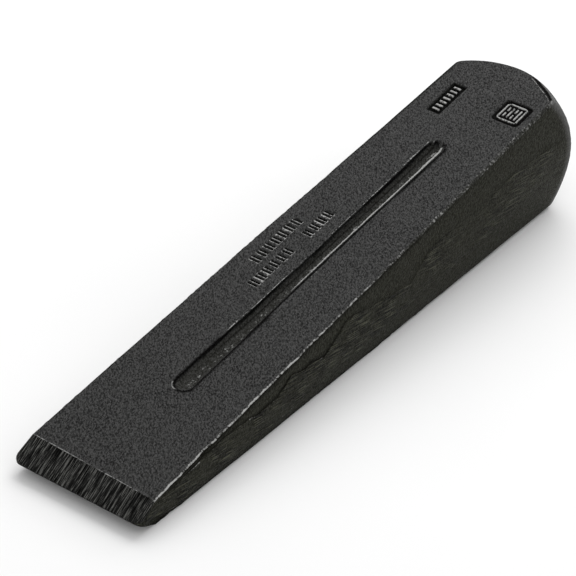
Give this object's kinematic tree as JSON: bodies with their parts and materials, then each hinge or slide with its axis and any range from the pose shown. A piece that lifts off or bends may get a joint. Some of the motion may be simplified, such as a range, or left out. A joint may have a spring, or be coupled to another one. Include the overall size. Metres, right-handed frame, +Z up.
{
  "type": "felling wedge",
  "caption": "Drop-forged steel felling wedge with a double-bevelled cutting edge, grooved flat cheeks, drafted sides and a crowned striking poll, painted black.",
  "frame": {"origin": "under the middle of the bounding box, on the plane of the lower cheek that the wedge lies on", "axes": "+X along the wedge from the cutting edge to the poll, parallel to the lower cheek; +Y across the cheeks; +Z up, out of the lower cheek"},
  "size_m": [0.2393, 0.049, 0.0455],
  "materials": {
    "black_painted_steel": "satin black paint over a rough forged skin, worn through on the sharp edges"
  },
  "bodies": {
    "root": {"wedge_body": "black_painted_steel"}
  },
  "joints": []
}
